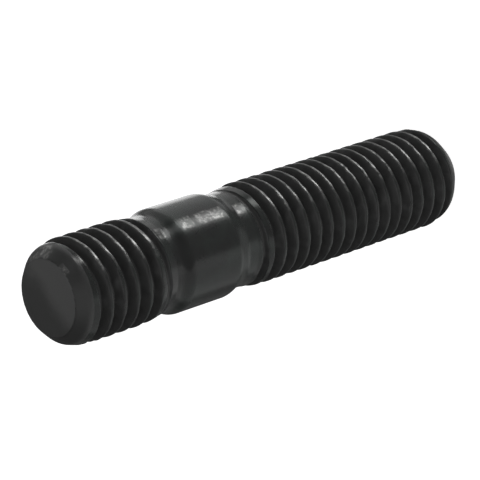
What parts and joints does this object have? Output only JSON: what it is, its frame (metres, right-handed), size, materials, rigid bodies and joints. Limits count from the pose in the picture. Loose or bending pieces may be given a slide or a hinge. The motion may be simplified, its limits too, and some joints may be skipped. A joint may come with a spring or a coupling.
{
  "type": "double ended stud",
  "caption": "Double ended stud with a short tap thread, a plain shank with tapered shoulders and bare necks, and a long nut thread, in black oxide steel.",
  "frame": {"origin": "centre of the nut end's face, which is the lowest face", "axes": "+Z along the stud from the nut end to the tap end; X and Y are square to it, and -Y faces the viewer of the reference view"},
  "size_m": [0.008, 0.008, 0.04],
  "materials": {
    "black_oxide_steel": "black oxide, lightly oiled, satin with fine grain"
  },
  "bodies": {
    "root": {"double_ended_stud": "black_oxide_steel"}
  },
  "joints": []
}
